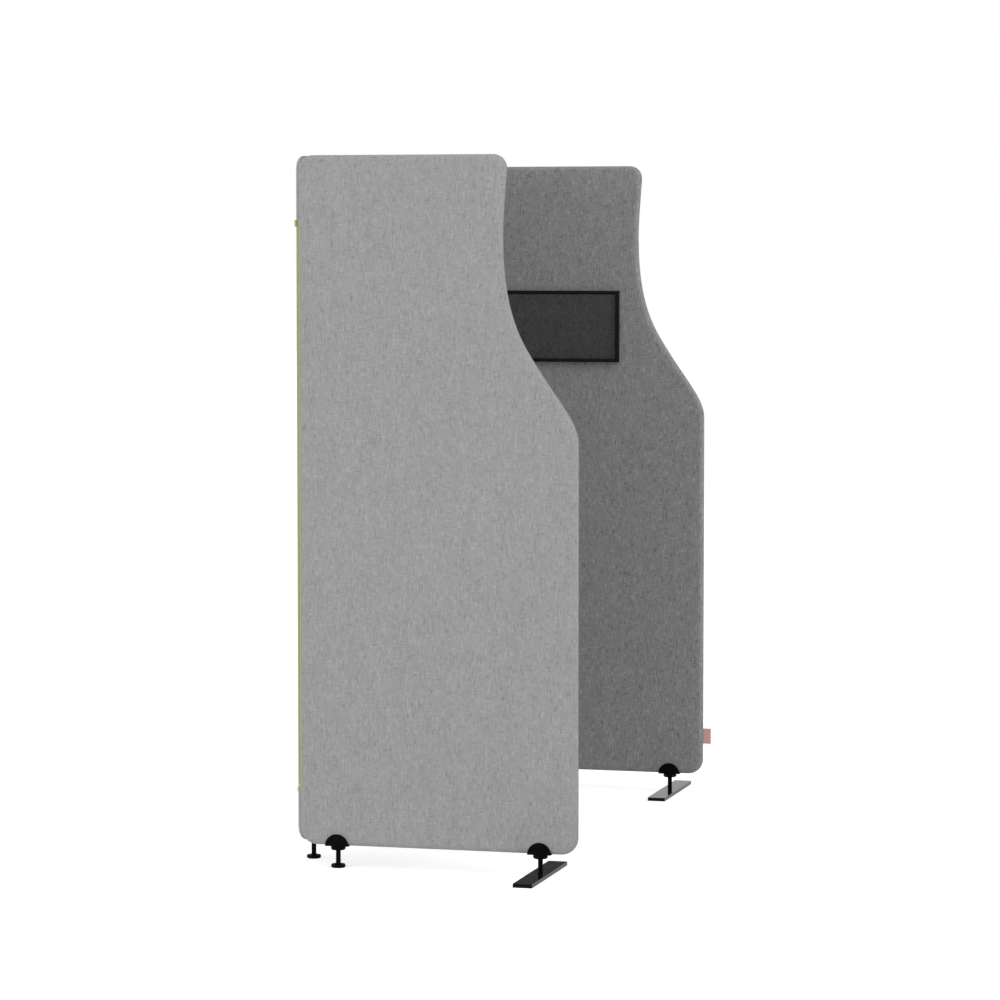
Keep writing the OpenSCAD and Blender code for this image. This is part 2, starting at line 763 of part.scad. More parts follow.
// Clamp feet: the inner jaws face into the nook and hold the screw heads
in_left_side() jaws(side_gap, side_w, -1, false);  // left_side_outer_jaws
in_left_side() jaws(side_gap, side_w, 1, true);  // left_side_inner_jaws
in_left_side() jaw_fasteners(side_gap, side_w, 1);  // left_side_jaw_fasteners
in_back_left() jaws(back_gap, back_w, 1, false);  // back_left_outer_jaws
in_back_left() jaws(back_gap, back_w, -1, true);  // back_left_inner_jaws
in_back_left() jaw_fasteners(back_gap, back_w, -1);  // back_left_jaw_fasteners
in_back_right() jaws(middle_gap, back_w, 1, false);  // back_right_outer_jaws
in_back_right() jaws(middle_gap, back_w, -1, true);  // back_right_inner_jaws
in_back_right() jaw_fasteners(middle_gap, back_w, -1);  // back_right_jaw_fasteners
in_right_side() jaws(side_gap, side_w, 1, false);  // right_side_outer_jaws
in_right_side() jaws(side_gap, side_w, -1, true);  // right_side_inner_jaws
in_right_side() jaw_fasteners(side_gap, side_w, -1);  // right_side_jaw_fasteners

// Levelling glides
in_left_side() past(first_side_foot) glide_pad();  // left_side_glide_pad
in_left_side() past(first_side_foot) glide_stud();  // left_side_glide_stud
in_back_left() past(back_gap + foot_inset) glide_pad();  // back_left_corner_glide_pad
in_back_left() past(back_gap + foot_inset) glide_stud();  // back_left_corner_glide_stud
in_back_left() past(back_gap + back_w - foot_inset) glide_pad();  // back_left_middle_glide_pad
in_back_left() past(back_gap + back_w - foot_inset) glide_stud();  // back_left_middle_glide_stud
in_back_right() past(middle_gap + foot_inset) glide_pad();  // back_right_middle_glide_pad
in_back_right() past(middle_gap + foot_inset) glide_stud();  // back_right_middle_glide_stud
in_back_right() past(middle_gap + back_w - foot_inset) glide_pad();  // back_right_corner_glide_pad
in_back_right() past(middle_gap + back_w - foot_inset) glide_stud();  // back_right_corner_glide_stud
in_right_side() past(first_side_foot) glide_pad();  // right_side_glide_pad
in_right_side() past(first_side_foot) glide_stud();  // right_side_glide_stud

// Stabiliser bars at the open ends
in_left_side() past(right_foot_x) stabiliser_bar();  // left_bar
in_left_side() past(right_foot_x) bar_stem();  // left_bar_stem
in_left_side() past(right_foot_x) bar_screw();  // left_bar_screw
in_right_side() past(right_foot_x) stabiliser_bar();  // right_bar
in_right_side() past(right_foot_x) bar_stem();  // right_bar_stem
in_right_side() past(right_foot_x) bar_screw();  // right_bar_screw

// Pocket and tab on the right side panel
in_right_side() pocket_gusset();
in_right_side() pocket_mesh();
in_right_side() pocket_binding();
in_right_side() fabric_tab();
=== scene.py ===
import json
import math

import bmesh
import bpy
from bpy.props import FloatProperty, FloatVectorProperty, PointerProperty
from mathutils import Matrix, Vector


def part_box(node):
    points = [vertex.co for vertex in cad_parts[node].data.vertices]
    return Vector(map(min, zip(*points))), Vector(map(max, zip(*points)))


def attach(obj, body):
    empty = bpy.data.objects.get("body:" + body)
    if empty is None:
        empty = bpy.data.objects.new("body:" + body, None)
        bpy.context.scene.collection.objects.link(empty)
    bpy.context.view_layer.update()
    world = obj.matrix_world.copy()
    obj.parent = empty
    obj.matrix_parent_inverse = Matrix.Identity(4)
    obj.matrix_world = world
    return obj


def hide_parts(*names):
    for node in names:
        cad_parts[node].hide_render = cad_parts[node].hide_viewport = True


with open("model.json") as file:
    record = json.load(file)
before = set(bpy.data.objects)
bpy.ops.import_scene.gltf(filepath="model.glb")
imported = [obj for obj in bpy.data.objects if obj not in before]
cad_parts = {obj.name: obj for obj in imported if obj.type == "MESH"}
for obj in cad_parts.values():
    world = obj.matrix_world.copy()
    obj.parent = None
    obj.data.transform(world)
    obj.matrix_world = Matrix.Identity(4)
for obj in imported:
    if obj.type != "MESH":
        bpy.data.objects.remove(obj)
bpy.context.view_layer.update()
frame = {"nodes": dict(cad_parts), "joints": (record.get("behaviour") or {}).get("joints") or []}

bl_info = {
    "name": "Acoustic divider screen",
    "version": (1, 0, 0),
    "blender": (4, 5, 0),
    "location": "3D View > Sidebar > Divider Screen",
    "description": "Dresses an acoustic divider screen: covers, zips, feet, mesh pocket, tab and studio",
    "category": "Object",
}

SEAMS = {j["name"]: Vector(j["pos_m"]) for j in frame["joints"] if j["type"] == "hinge"}
MM = 0.001


class Panel:
    """Place of one panel: x runs along it from its first seam's axis, y through it, z up from its edge.

    along is the axis of the room that it follows, 0 for x and 1 for y. wave says whether its front edge
    has the wave, and nook which of its faces looks into the nook, 1 for y and -1 for -y.
    """

    def __init__(self, name, seam, along, wave, nook):
        low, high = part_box(name + "_cover")
        self.name, self.body, self.wave, self.nook = name, name + "_panel", wave, nook
        self.seam, self.base, self.height = SEAMS[seam], low.z, high.z - low.z
        self.width = high[along] - low[along]
        self.thick = high[1 - along] - low[1 - along]
        self.gap = (self.seam.y - high.y) if along else (low.x - self.seam.x)
        turn = -90 if along else 0
        self.place = (Matrix.Translation((self.seam.x, self.seam.y, self.base))
                      @ Matrix.Rotation(math.radians(turn), 4, "Z"))


PANELS = {
    "left_side": Panel("left_side", "left_corner_hinge", 1, True, 1),
    "back_left": Panel("back_left", "left_corner_hinge", 0, False, -1),
    "back_right": Panel("back_right", "middle_hinge", 0, False, -1),
    "right_side": Panel("right_side", "right_corner_hinge", 1, True, -1),
}
# Each zip half: its panel, whether it sits on the panel's far edge, and whether it holds the box
ZIP_HALVES = {
    "left_side_zip_tape": ("left_side", False, False),
    "back_left_corner_zip_tape": ("back_left", False, True),
    "back_left_middle_zip_tape": ("back_left", True, True),
    "back_right_middle_zip_tape": ("back_right", False, False),
    "back_right_corner_zip_tape": ("back_right", True, True),
    "right_side_zip_tape": ("right_side", False, False),
}


# Settings

def grey(level):
    return (level, level, level, 1)


def length(name, text, value, low=0.0, high=2.0):
    return FloatProperty(name=name, description=text, default=value, min=low, max=high,
                         subtype="DISTANCE", unit="LENGTH", precision=5)


def shade(name, text, value):
    return FloatVectorProperty(name=name, description=text, default=value, size=4, min=0, max=1,
                               subtype="COLOR")


def amount(name, text, value, **units):
    return FloatProperty(name=name, description=text, default=value, **units)


def spot(name, text, value):
    return FloatVectorProperty(name=name, description=text, default=value, size=3,
                               subtype="TRANSLATION", unit="LENGTH")


class DIVIDER_PG_panel(bpy.types.PropertyGroup):
    bottom_corner: length("Bottom corner radius", "Radius of the panels' bottom corners", 0.040)
    top_corner: length("Top corner radius", "Radius of the panels' top corners", 0.033)
    wave_foot: length("Wave foot", "Height at which the wave leaves the full width", 0.957)
    wave_middle: length("Wave middle", "Height of the steepest point of the wave", 1.133)
    wave_middle_width: length("Middle width", "Panel width at the steepest point", 0.578)
    wave_lean: amount("Wave lean", "Lean of the wave at its steepest point", math.radians(33),
                      subtype="ANGLE", unit="ROTATION")
    neck: length("Neck height", "Height of the narrowest place", 1.437)
    neck_width: length("Neck width", "Panel width at the neck", 0.495)
    top_width: length("Top width", "Panel width at its top", 0.504)
    cover: length("Cover thickness", "Thickness of the fabric with its bonded felt", 0.002)
    groove: length("Seam groove depth", "How deep the seam draws in the edge", 0.0009)
    groove_width: length("Seam groove width", "Width of the drawn-in seam", 0.0016)
    stitch_pitch: length("Stitch pitch", "Distance from stitch to stitch in the seam", 0.0042)


class DIVIDER_PG_zip(bpy.types.PropertyGroup):
    bottom: length("Zip bottom", "Bottom of the zips above the panels' edge", 0.124)
    tooth_pitch: length("Tooth pitch", "Distance from tooth to tooth on one tape", 0.003)
    tooth_height: length("Tooth height", "Thickness of a tooth along the zip", 0.0013)
    stitch_pitch: length("Flap stitch pitch", "Distance from stitch to stitch on the tape's flaps", 0.0045)


class DIVIDER_PG_feet(bpy.types.PropertyGroup):
    inset: length("Foot inset", "Distance of each foot from its panel's edge", 0.091)
    screw_reach: length("Screw reach", "Distance of a clamp screw from the foot's stem", 0.0108)


class DIVIDER_PG_pocket(bpy.types.PropertyGroup):
    mesh_pitch: length("Mesh pitch", "Distance from hole to hole in the pocket's mesh", 0.0063)
    strand: length("Strand width", "Width of a strand of the mesh", 0.0015)
    stitch_pitch: length("Binding stitch pitch", "Distance from stitch to stitch in the binding", 0.0045)


class DIVIDER_PG_finish(bpy.types.PropertyGroup):
    outer_light: shade("Outer fabric, light yarn", "Light yarn of the outer fabric", grey(0.515))
    outer_dark: shade("Outer fabric, dark yarn", "Dark yarn of the outer fabric", grey(0.188))
    nook_light: shade("Nook fabric, light yarn", "Light yarn of the fabric into the nook", grey(0.515))
    # Darker than the outer fabric's dark yarn: painted shade on the faces that look into the nook
    nook_dark_painted_shade: shade("Nook fabric, dark yarn", "Dark yarn of the fabric into the nook", grey(0.052))
    tape: shade("Zip tape", "Colour of the woven zip tape", (0.44, 0.49, 0.265, 1))
    black: shade("Black plastic", "Colour of the moulded pieces", grey(0.002))
    coat: shade("Powder coat", "Colour of the coated steel", grey(0.005))
    # Lighter than the tape: painted light that offsets the shade on the sliders' faces
    lacquer_painted_light: shade("Zip lacquer", "Colour of the zips' stops, boxes, pins, sliders and pulls",
                   (0.55, 0.60, 0.36, 1))
    tab: shade("Tab", "Colour of the folded tab", (0.80, 0.445, 0.465, 1))


class DIVIDER_PG_stage(bpy.types.PropertyGroup):
    camera: spot("Camera", "Place of the camera", (-9.120, -2.4154, 1.471))
    sight: FloatVectorProperty(name="Line of sight", description="Direction that the camera looks in", size=3,
                               default=(0.9635, 0.2591, -0.0678), subtype="DIRECTION")
    lens: amount("Lens", "Focal length of the camera in millimetres", 135.36)
    key: amount("Key lamp", "Power of the lamp at the open side", 160, unit="POWER")
    key_place: spot("Key lamp's place", "Place of the lamp at the open side", (-1.8, -5.2, 5.6))
    side: amount("Side lamp", "Power of the lamp at the back", 120, unit="POWER")
    side_place: spot("Side lamp's place", "Place of the lamp at the back", (-5.5, 4.5, 1.2))
    lamp_size: length("Lamp size", "Diameter of each lamp's disc", 3.5, high=10)
    aim: spot("Aim", "Point that both lamps face", (0, 0, 0.8))
    fill: amount("World light", "Strength of the even light all round", 0.66)
    floor_reach: length("Floor reach", "Half the width of the floor", 40, high=100)


SETTINGS = {
    "divider_panel": DIVIDER_PG_panel,
    "divider_zip": DIVIDER_PG_zip,
    "divider_feet": DIVIDER_PG_feet,
    "divider_pocket": DIVIDER_PG_pocket,
    "divider_finish": DIVIDER_PG_finish,
    "divider_stage": DIVIDER_PG_stage,
}


# Mesh helpers

def new_object(name, mesh, *materials):
    piece = bpy.data.objects.new(name, mesh)
    bpy.context.scene.collection.objects.link(piece)
    for material in materials:
        mesh.materials.append(material)
    return piece


def mesh_of(name, build, smooth=True):
    """A mesh made by build(bm), with its faces turned outwards."""
    bm = bmesh.new()
    build(bm)
    bmesh.ops.recalc_face_normals(bm, faces=bm.faces)
    mesh = bpy.data.meshes.new(name)
    bm.to_mesh(mesh)
    bm.free()
    if smooth:
        mesh.shade_smooth()
    else:
        mesh.shade_flat()
    return mesh


def close_rings(bm, rings, ends="capped"):
    """Joins rings of equally many points. The two ends are "capped", "open" or "joined" to each other."""
    rings = [[bm.verts.new(point) for point in points] for points in rings]
    if ends == "joined":
        rings += rings[:1]
    for lower, upper in zip(rings, rings[1:]):
        for i in range(len(lower)):
            j = (i + 1) % len(lower)
            bm.faces.new((lower[i], lower[j], upper[j], upper[i]))
    if ends == "capped":
        bm.faces.new(rings[0][::-1])
        bm.faces.new(rings[-1])


def skin(name, rings, smooth=False, ends="capped"):
    """A mesh of joined rings of points."""
    return mesh_of(name, lambda bm: close_rings(bm, rings, ends), smooth)


def tube(bm, outline, low, high):
    """Extrudes a closed outline of (x, y) points from height low to height high."""
    close_rings(bm, [[(x, y, z) for x, y in outline] for z in (low, high)])


def block(bm, low, high):
    """A box from its lowest to its highest corner."""
    tube(bm, [(low[0], low[1]), (high[0], low[1]), (high[0], high[1]), (low[0], high[1])], low[2], high[2])


def ring(radius, count, centre=(0, 0)):
    return [(centre[0] + radius * math.cos(2 * math.pi * i / count),
             centre[1] + radius * math.sin(2 * math.pi * i / count)) for i in range(count)]


def settled(piece):
    """The piece with its modifiers turned into a plain mesh."""
    graph = bpy.context.evaluated_depsgraph_get()
    mesh = bpy.data.meshes.new_from_object(piece.evaluated_get(graph))
    mesh.name = piece.name
    old = piece.data
    piece.modifiers.clear()
    piece.data = mesh
    if old.users == 0:
        bpy.data.meshes.remove(old)
    return piece


def source(mesh):
    """An object to be repeated, which is taken away afterwards."""
    return new_object(mesh.name, mesh)


def drop(*pieces):
    for piece in pieces:
        mesh = piece.data
        bpy.data.objects.remove(piece)
        if mesh.users == 0:
            bpy.data.meshes.remove(mesh)


def carried(piece, body, slot, *nodes):
    """Attaches a finished piece to the body that carries it and hides the CAD nodes that it stands for. The
    slot is not used.
    """
    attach(piece, body)
    if nodes:
        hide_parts(*nodes)


def fitted(mesh, place, material, body, slot, *nodes):
    """Makes a finished piece of a mesh that is drawn at its own origin."""
    mesh.transform(place)
    carried(new_object(mesh.name, mesh, material), body, slot, *nodes)


def dress(material, *endings):
    """Gives the CAD nodes with these name endings a material."""
    for name, solid in frame["nodes"].items():
        if name.endswith(endings):
            solid.data.materials.clear()
            solid.data.materials.append(material)


# Node groups

# Kinds of sockets
SHAPE, PIECE, PAINT = "NodeSocketGeometry", "NodeSocketObject", "NodeSocketMaterial"
COLOUR, NUMBER, WHOLE = "NodeSocketColor", "NodeSocketFloat", "NodeSocketInt"
VECTOR, TURN = "NodeSocketVector", "NodeSocketRotation"


def node(tree, kind, inputs, **settings):
    """A new node with its settings, each of its inputs given a value or a socket to link from."""
    made = tree.nodes.new(kind)
    for name, value in settings.items():
        setattr(made, name, value)
    for key, value in inputs.items():
        if isinstance(value, bpy.types.NodeSocket):
            tree.links.new(value, made.inputs[key])
        else:
            made.inputs[key].default_value = value
    return made


def built_once(name, kind, inputs, outputs, build):
    """A node group with named sockets. build(tree, given) fills it and says what each output shows."""
    if name in bpy.data.node_groups:
        return bpy.data.node_groups[name]
    tree = bpy.data.node_groups.new(name, kind)
    for label, socket, *value in inputs:
        made = tree.interface.new_socket(label, in_out="INPUT", socket_type=socket)
        if value:
            made.default_value = value[0]
    for label, socket in outputs:
        tree.interface.new_socket(label, in_out="OUTPUT", socket_type=socket)
    node(tree, "NodeGroupOutput", build(tree, tree.nodes.new("NodeGroupInput").outputs))
    return tree


def repeating_tree(name, inputs, layout):
    """Instances a piece on the points and turns of layout(tree, given), realized and with one finish."""
    def build(tree, given):
        points, turn = layout(tree, given)
        info = node(tree, "GeometryNodeObjectInfo", {"Object": given["Piece"], "As Instance": True})
        copies = node(tree, "GeometryNodeInstanceOnPoints", {
            "Points": points, "Instance": info.outputs["Geometry"], "Rotation": turn})
        real = node(tree, "GeometryNodeRealizeInstances", {"Geometry": copies.outputs["Instances"]})
        coat = node(tree, "GeometryNodeSetMaterial", {
            "Geometry": real.outputs["Geometry"], "Material": given["Finish"]})
        return {"Geometry": coat.outputs["Geometry"]}
    return built_once(name, "GeometryNodeTree",
                      [("Geometry", SHAPE), ("Piece", PIECE), *inputs, ("Finish", PAINT)],
                      [("Geometry", SHAPE)], build)


def row_tree():
    """Pieces in a straight row: teeth, and the hardware of the feet."""
    def layout(tree, given):
        line = node(tree, "GeometryNodeMeshLine", {
            "Count": given["Count"], "Start Location": given["Start"], "Offset": given["Step"]},
            mode="OFFSET")
        return line.outputs["Mesh"], given["Turn"]
    return repeating_tree("pieces_in_a_row", [
        ("Start", VECTOR), ("Step", VECTOR), ("Count", WHOLE, 2), ("Turn", TURN)], layout)


def path_tree():
    """Pieces that follow a path at even steps, turned along it: the stitches of a seam."""
    def layout(tree, given):
        curve = node(tree, "GeometryNodeMeshToCurve", {"Mesh": given["Geometry"]})
        even = node(tree, "GeometryNodeResampleCurve", {
            "Curve": curve.outputs["Curve"], "Length": given["Pitch"]}, mode="LENGTH")
        tangent = node(tree, "GeometryNodeInputTangent", {})
        turn = node(tree, "FunctionNodeAlignRotationToVector", {"Vector": tangent.outputs["Tangent"]},
                    axis="X")
        return even.outputs["Curve"], turn.outputs["Rotation"]
    return repeating_tree("pieces_along_a_path", [("Pitch", NUMBER, 0.004)], layout)


def lattice_tree():
    """Two staggered grids of one cell: the pocket's mesh."""
    def layout(tree, given):
        grid = node(tree, "GeometryNodeMeshGrid", {
            "Size X": given["Width"], "Size Y": given["Height"],
            "Vertices X": given["Columns"], "Vertices Y": given["Rows"]})
        join = tree.nodes.new("GeometryNodeJoinGeometry")
        for label in ("Centre", "Stagger"):
            move = node(tree, "GeometryNodeTransform", {
                "Geometry": grid.outputs["Mesh"], "Translation": given[label], "Rotation": given["Turn"]})
            tree.links.new(move.outputs["Geometry"], join.inputs["Geometry"])
        return join.outputs["Geometry"], given["Turn"]
    return repeating_tree("staggered_lattice", [
        ("Width", NUMBER, 0.1), ("Height", NUMBER, 0.1), ("Columns", WHOLE, 10), ("Rows", WHOLE, 10),
        ("Centre", VECTOR), ("Stagger", VECTOR), ("Turn", TURN)], layout)


def grown(name, tree, values, base=None):
    """A new object whose mesh the tree makes, turned into a plain mesh."""
    piece = new_object(name, base or bpy.data.meshes.new(name))
    modifier = piece.modifiers.new("Repeat", "NODES")
    modifier.node_group = tree
    for label, value in values.items():
        modifier[tree.interface.items_tree[label].identifier] = value
    return settled(piece)


def math_node(tree, operation, *values):
    return node(tree, "ShaderNodeMath", dict(enumerate(values)), operation=operation).outputs["Value"]


def noise(tree, scales, detail, roughness, shift=0.0):
    """Noise on object coordinates with a size for each axis, in cycles per metre."""
    place = tree.nodes.new("ShaderNodeTexCoord")
    mapping = node(tree, "ShaderNodeMapping", {
        "Vector": place.outputs["Object"], "Location": (shift, shift, shift), "Scale": scales})
    return node(tree, "ShaderNodeTexNoise", {
        "Vector": mapping.outputs["Vector"], "Scale": 1, "Detail": detail,
        "Roughness": roughness}).outputs["Fac"]


def ramp(tree, value, low, high, to_low=0.0, to_high=1.0):
    return node(tree, "ShaderNodeMapRange", {
        "Value": value, "From Min": low, "From Max": high, "To Min": to_low,
        "To Max": to_high}).outputs["Result"]


def mixed(tree, factor, one, two, blend="MIX"):
    """One colour into the other. The colours' sockets are the mix node's 6 and 7, and its result 2."""
    return node(tree, "ShaderNodeMix", {0: factor, 6: one, 7: two}, data_type="RGBA",
                blend_type=blend).outputs[2]


def woven_cycles(tree, pitch):
    """Over and under of a plain weave, from -1 to 1, that runs on round the panel's edges."""
    place = tree.nodes.new("ShaderNodeTexCoord")
    split = node(tree, "ShaderNodeSeparateXYZ", {"Vector": place.outputs["Object"]})
    along = math_node(tree, "ADD", split.outputs["X"], split.outputs["Y"])
    turns = 2 * math.pi / pitch
    across = math_node(tree, "SINE", math_node(tree, "MULTIPLY", along, turns))
    up = math_node(tree, "SINE", math_node(tree, "MULTIPLY", split.outputs["Z"], turns))
    return math_node(tree, "MULTIPLY", across, up)


def flecks(tree, scales, shift, start, full):
    """Sparse slubs of stretched noise: 1 in the light ones, -1 in the dark ones, 0 between."""
    field = noise(tree, scales, detail=1, roughness=0.5, shift=shift)
    light = ramp(tree, field, low=0.5 + start, high=0.5 + full)
    dark = ramp(tree, field, low=0.5 - start, high=0.5 - full)
    return math_node(tree, "SUBTRACT", light, dark)


def unevenness(tree, scales, detail, roughness, shift):
    """Noise from -0.5 to 0.5."""
    return ramp(tree, noise(tree, scales, detail, roughness, shift), 0, 1, to_low=-0.5, to_high=0.5)


def weighted(tree, *parts):
    """A half, and to it each value times its weight."""
    total = 0.5
    for value, weight in parts:
        total = math_node(tree, "MULTIPLY_ADD", value, weight, total)
    return total


def heather_weave():
    """Melange cloth: sparse upright and level slubs of two yarns over a fine plain weave."""
    def build(tree, given):
        upright = flecks(tree, (300, 300, 62), shift=0.0, start=0.10, full=0.20)
        level = flecks(tree, (62, 62, 330), shift=7.3, start=0.115, full=0.22)
        yarn = unevenness(tree, (820, 820, 260), detail=2, roughness=0.6, shift=3.1)
        cloud = unevenness(tree, (44, 44, 18), detail=1, roughness=0.5, shift=1.7)
        woven = woven_cycles(tree, pitch=0.0014)
        tone = weighted(tree, (upright, 0.20), (level, 0.16), (yarn, 0.26), (cloud, 0.15), (woven, 0.06))
        relief = weighted(tree, (woven, 0.5), (upright, 0.3), (level, 0.3), (yarn, 0.8))
        return {"Color": mixed(tree, tone, given["Dark"], given["Light"]), "Height": relief}
    return built_once("heather_weave", "ShaderNodeTree",
                      [("Light", COLOUR, grey(0.4)), ("Dark", COLOUR, grey(0.2))],
                      [("Color", COLOUR), ("Height", NUMBER)], build)


def ribbon_weave():
    """Close woven ribbon for tapes, bindings, threads and the tab."""
    def build(tree, given):
        woven = woven_cycles(tree, pitch=0.0011)
        wear = ramp(tree, noise(tree, (620, 620, 420), detail=3, roughness=0.6, shift=5.9),
                    low=0.3, high=0.7, to_low=0.88, to_high=1.1)
        tone = math_node(tree, "MULTIPLY", wear, math_node(tree, "MULTIPLY_ADD", woven, 0.1, 1.0))
        return {"Color": mixed(tree, 1.0, given["Color"], tone, "MULTIPLY"), "Height": woven}
    return built_once("ribbon_weave", "ShaderNodeTree", [("Color", COLOUR, grey(0.3))],
                      [("Color", COLOUR), ("Height", NUMBER)], build)


def moulded_grain():
    """Fine grain with faint rub marks for plastic, steel, plywood and felt."""
    def build(tree, given):
        grain = noise(tree, (1500, 1500, 1500), detail=2, roughness=0.6)
        rub = ramp(tree, noise(tree, (45, 45, 45), detail=4, roughness=0.65, shift=2.2),
                   low=0.42, high=0.75)
        worn = math_node(tree, "MULTIPLY", rub, 0.25)
        rough = math_node(tree, "ADD", given["Roughness"],
                          ramp(tree, rub, 0, 1, to_low=-0.04, to_high=0.08))
        return {"Color": mixed(tree, worn, given["Color"], given["Worn"]), "Roughness": rough,
                "Height": grain}
    return built_once("moulded_grain", "ShaderNodeTree",
                      [("Color", COLOUR, grey(0.02)), ("Worn", COLOUR, grey(0.06)),
                       ("Roughness", NUMBER, 0.5)],
                      [("Color", COLOUR), ("Roughness", NUMBER), ("Height", NUMBER)], build)


# Finishes

def finish(name, pattern_tree, values, depth, step, **surface):
    """A material on one shader group: depth is the bump's strength, step its height in metres."""
    if name in bpy.data.materials:
        return bpy.data.materials[name]
    material = bpy.data.materials.new(name)
    material.use_nodes = True
    tree = material.node_tree
    shader = tree.nodes["Principled BSDF"].inputs
    pattern = node(tree, "ShaderNodeGroup", values, node_tree=pattern_tree).outputs
    bump = node(tree, "ShaderNodeBump", {"Strength": depth, "Distance": step, "Height": pattern["Height"]})
    tree.links.new(bump.outputs["Normal"], shader["Normal"])
    tree.links.new(pattern["Color"], shader["Base Color"])
    if "Roughness" in pattern:
        tree.links.new(pattern["Roughness"], shader["Roughness"])
    for label, value in surface.items():
        shader[label.replace("_", " ")].default_value = value
    return material


def colours():
    return bpy.context.scene.divider_finish


def heather(name, light, dark, sheen):
    return finish(name, heather_weave(), {"Light": light[:], "Dark": dark[:]}, depth=0.35, step=0.0006,
                  Roughness=0.92, Sheen_Weight=sheen, Sheen_Roughness=0.6, Specular_IOR_Level=0.2)


def outer_fabric():
    return heather("outer_fabric", colours().outer_light, colours().outer_dark, sheen=0.12)


# Fabric of the faces into the nook, whose darker dark yarn is painted shade of the nook
def nook_fabric():
    return heather("nook_fabric", colours().nook_light, colours().nook_dark_painted_shade, sheen=0.08)


def ribbon(name, colour, roughness=0.85, gloss=0.25, sheen=0.1):
    return finish(name, ribbon_weave(), {"Color": colour}, depth=0.4, step=0.0003,
                  Roughness=roughness, Sheen_Weight=sheen, Specular_IOR_Level=gloss)


def tape_ribbon():
    return ribbon("zip_tape_ribbon", colours().tape[:])


def black_ribbon():
    return ribbon("black_ribbon", grey(0.008), gloss=0.12, sheen=0.03)


def net_yarn():
    return ribbon("net_yarn", (0.027, 0.027, 0.0275, 1), roughness=0.7, gloss=0.2, sheen=0.05)


def tab_ribbon():
    return ribbon("tab_ribbon", colours().tab[:])


def seam_thread():
    return ribbon("seam_thread", grey(0.2), roughness=0.7)


def tape_thread():
    return ribbon("tape_thread", (0.34, 0.38, 0.2, 1), roughness=0.7)


def grained(name, colour, worn, roughness, **surface):
    """A finish with the moulded grain, whose worn places have a colour of their own."""
    return finish(name, moulded_grain(), {"Color": colour, "Worn": worn, "Roughness": roughness}, **surface)


def tooth_resin():
    return grained("tooth_resin", colours().tape[:], worn=(0.5, 0.54, 0.32, 1), roughness=0.42,
                   depth=0.1, step=0.0001, Specular_IOR_Level=0.35)


# Lacquer lighter than the tape, which is painted light over the shade on sliders, stops and pulls
def zip_lacquer():
    return grained("zip_lacquer", colours().lacquer_painted_light[:], worn=(0.58, 0.61, 0.42, 1), roughness=0.36,
                   depth=0.08, step=0.0001, Specular_IOR_Level=0.5)


def black_plastic():
    return grained("black_plastic", colours().black[:], worn=grey(0.010), roughness=0.5,
                   depth=0.12, step=0.0002, Specular_IOR_Level=0.03)


def black_coat():
    return grained("black_coat", colours().coat[:], worn=grey(0.014), roughness=0.1,
                   depth=0.04, step=0.00015, Specular_IOR_Level=0.05)


def black_oxide():
    return grained("black_oxide_steel", (0.02, 0.02, 0.021, 1), worn=grey(0.1), roughness=0.42,
                   depth=0.1, step=0.0001, Metallic=0.7)


def zinc():
    return grained("zinc_plate", (0.5, 0.5, 0.51, 1), worn=grey(0.66), roughness=0.34,
                   depth=0.08, step=0.0001, Metallic=1.0)


def plywood():
    return grained("plywood", (0.56, 0.4, 0.2, 1), worn=(0.66, 0.5, 0.3, 1), roughness=0.7,
                   depth=0.2, step=0.0004)


def felt():
    return grained("pressed_felt", (0.07, 0.075, 0.085, 1), worn=(0.12, 0.125, 0.135, 1), roughness=0.95,
                   depth=0.5, step=0.0008)


# Panels

# How far the wave's three curves, from its foot up, keep to the lean at their two ends, as shares of
# their rise
WAVE_SHARES = ((0.27, 0.57), (0.23, 0.6), (0.33, 0.07))
# Loops of the cover on a flat face, measured inwards from where the rounded edge ends
FACE_LOOPS = (0.016, 0.006, 0.0015)
# How deep the stitches of the edge seam lie, as a share of its groove
STITCH_DEPTH_SHARE = 0.55
# Distance from the ends of a zip to the edge seam's first and last stitch
SEAM_GAP = 3 * MM


def arc(cx, cz, r, first, steps=10):
    """A quarter turn from the angle first, as (x, z, outward x, outward z)."""
    return [(cx + r * math.cos(a), cz + r * math.sin(a), math.cos(a), math.sin(a))
            for a in (math.radians(first + 90 * i / steps) for i in range(steps + 1))]


def wave_curve(a, lean_a, d, lean_d, shares, steps=14):
    """One curve of the wave from a to d, each leaning from upright by its own angle."""
    rise = d[1] - a[1]
    b = a + shares[0] * rise * Vector((-math.sin(lean_a), math.cos(lean_a)))
    c = d - shares[1] * rise * Vector((-math.sin(lean_d), math.cos(lean_d)))
    points = []
    for i in range(1, steps):
        t = i / steps
        s = 1 - t
        p = s ** 3 * a + 3 * s * s * t * b + 3 * s * t * t * c + t ** 3 * d
        q = (3 * s * s * (b - a) + 6 * s * t * (c - b) + 3 * t * t * (d - c)).normalized()
        points.append((p.x, p.y, q.y, -q.x))
    return points


def outline_of(panel, size):
    """The panel's outline, anticlockwise, as (x, z, outward x, outward z), from its own first edge."""
    w, h, r, top = panel.width, panel.height, size.bottom_corner, size.top_corner
    lower = arc(r, r, r, 180) + arc(w - r, r, r, 270)
    first_top = arc(top, h - top, top, 90)
    if not panel.wave:
        return lower + arc(w - top, h - top, top, 0) + first_top
    foot, middle = Vector((w, size.wave_foot)), Vector((size.wave_middle_width, size.wave_middle))
    neck, head = Vector((size.neck_width, size.neck)), Vector((size.top_width, h - top))
    upright = (1.0, 0.0)
    lean = Vector((math.cos(size.wave_lean), math.sin(size.wave_lean)))
    return (lower + [(*foot, *upright)]
            + wave_curve(foot, 0, middle, size.wave_lean, WAVE_SHARES[0]) + [(*middle, *lean)]
            + wave_curve(middle, size.wave_lean, neck, 0, WAVE_SHARES[1]) + [(*neck, *upright)]
            + wave_curve(neck, 0, head, 0, WAVE_SHARES[2])
            + arc(size.top_width - top, h - top, top, 0) + first_top)


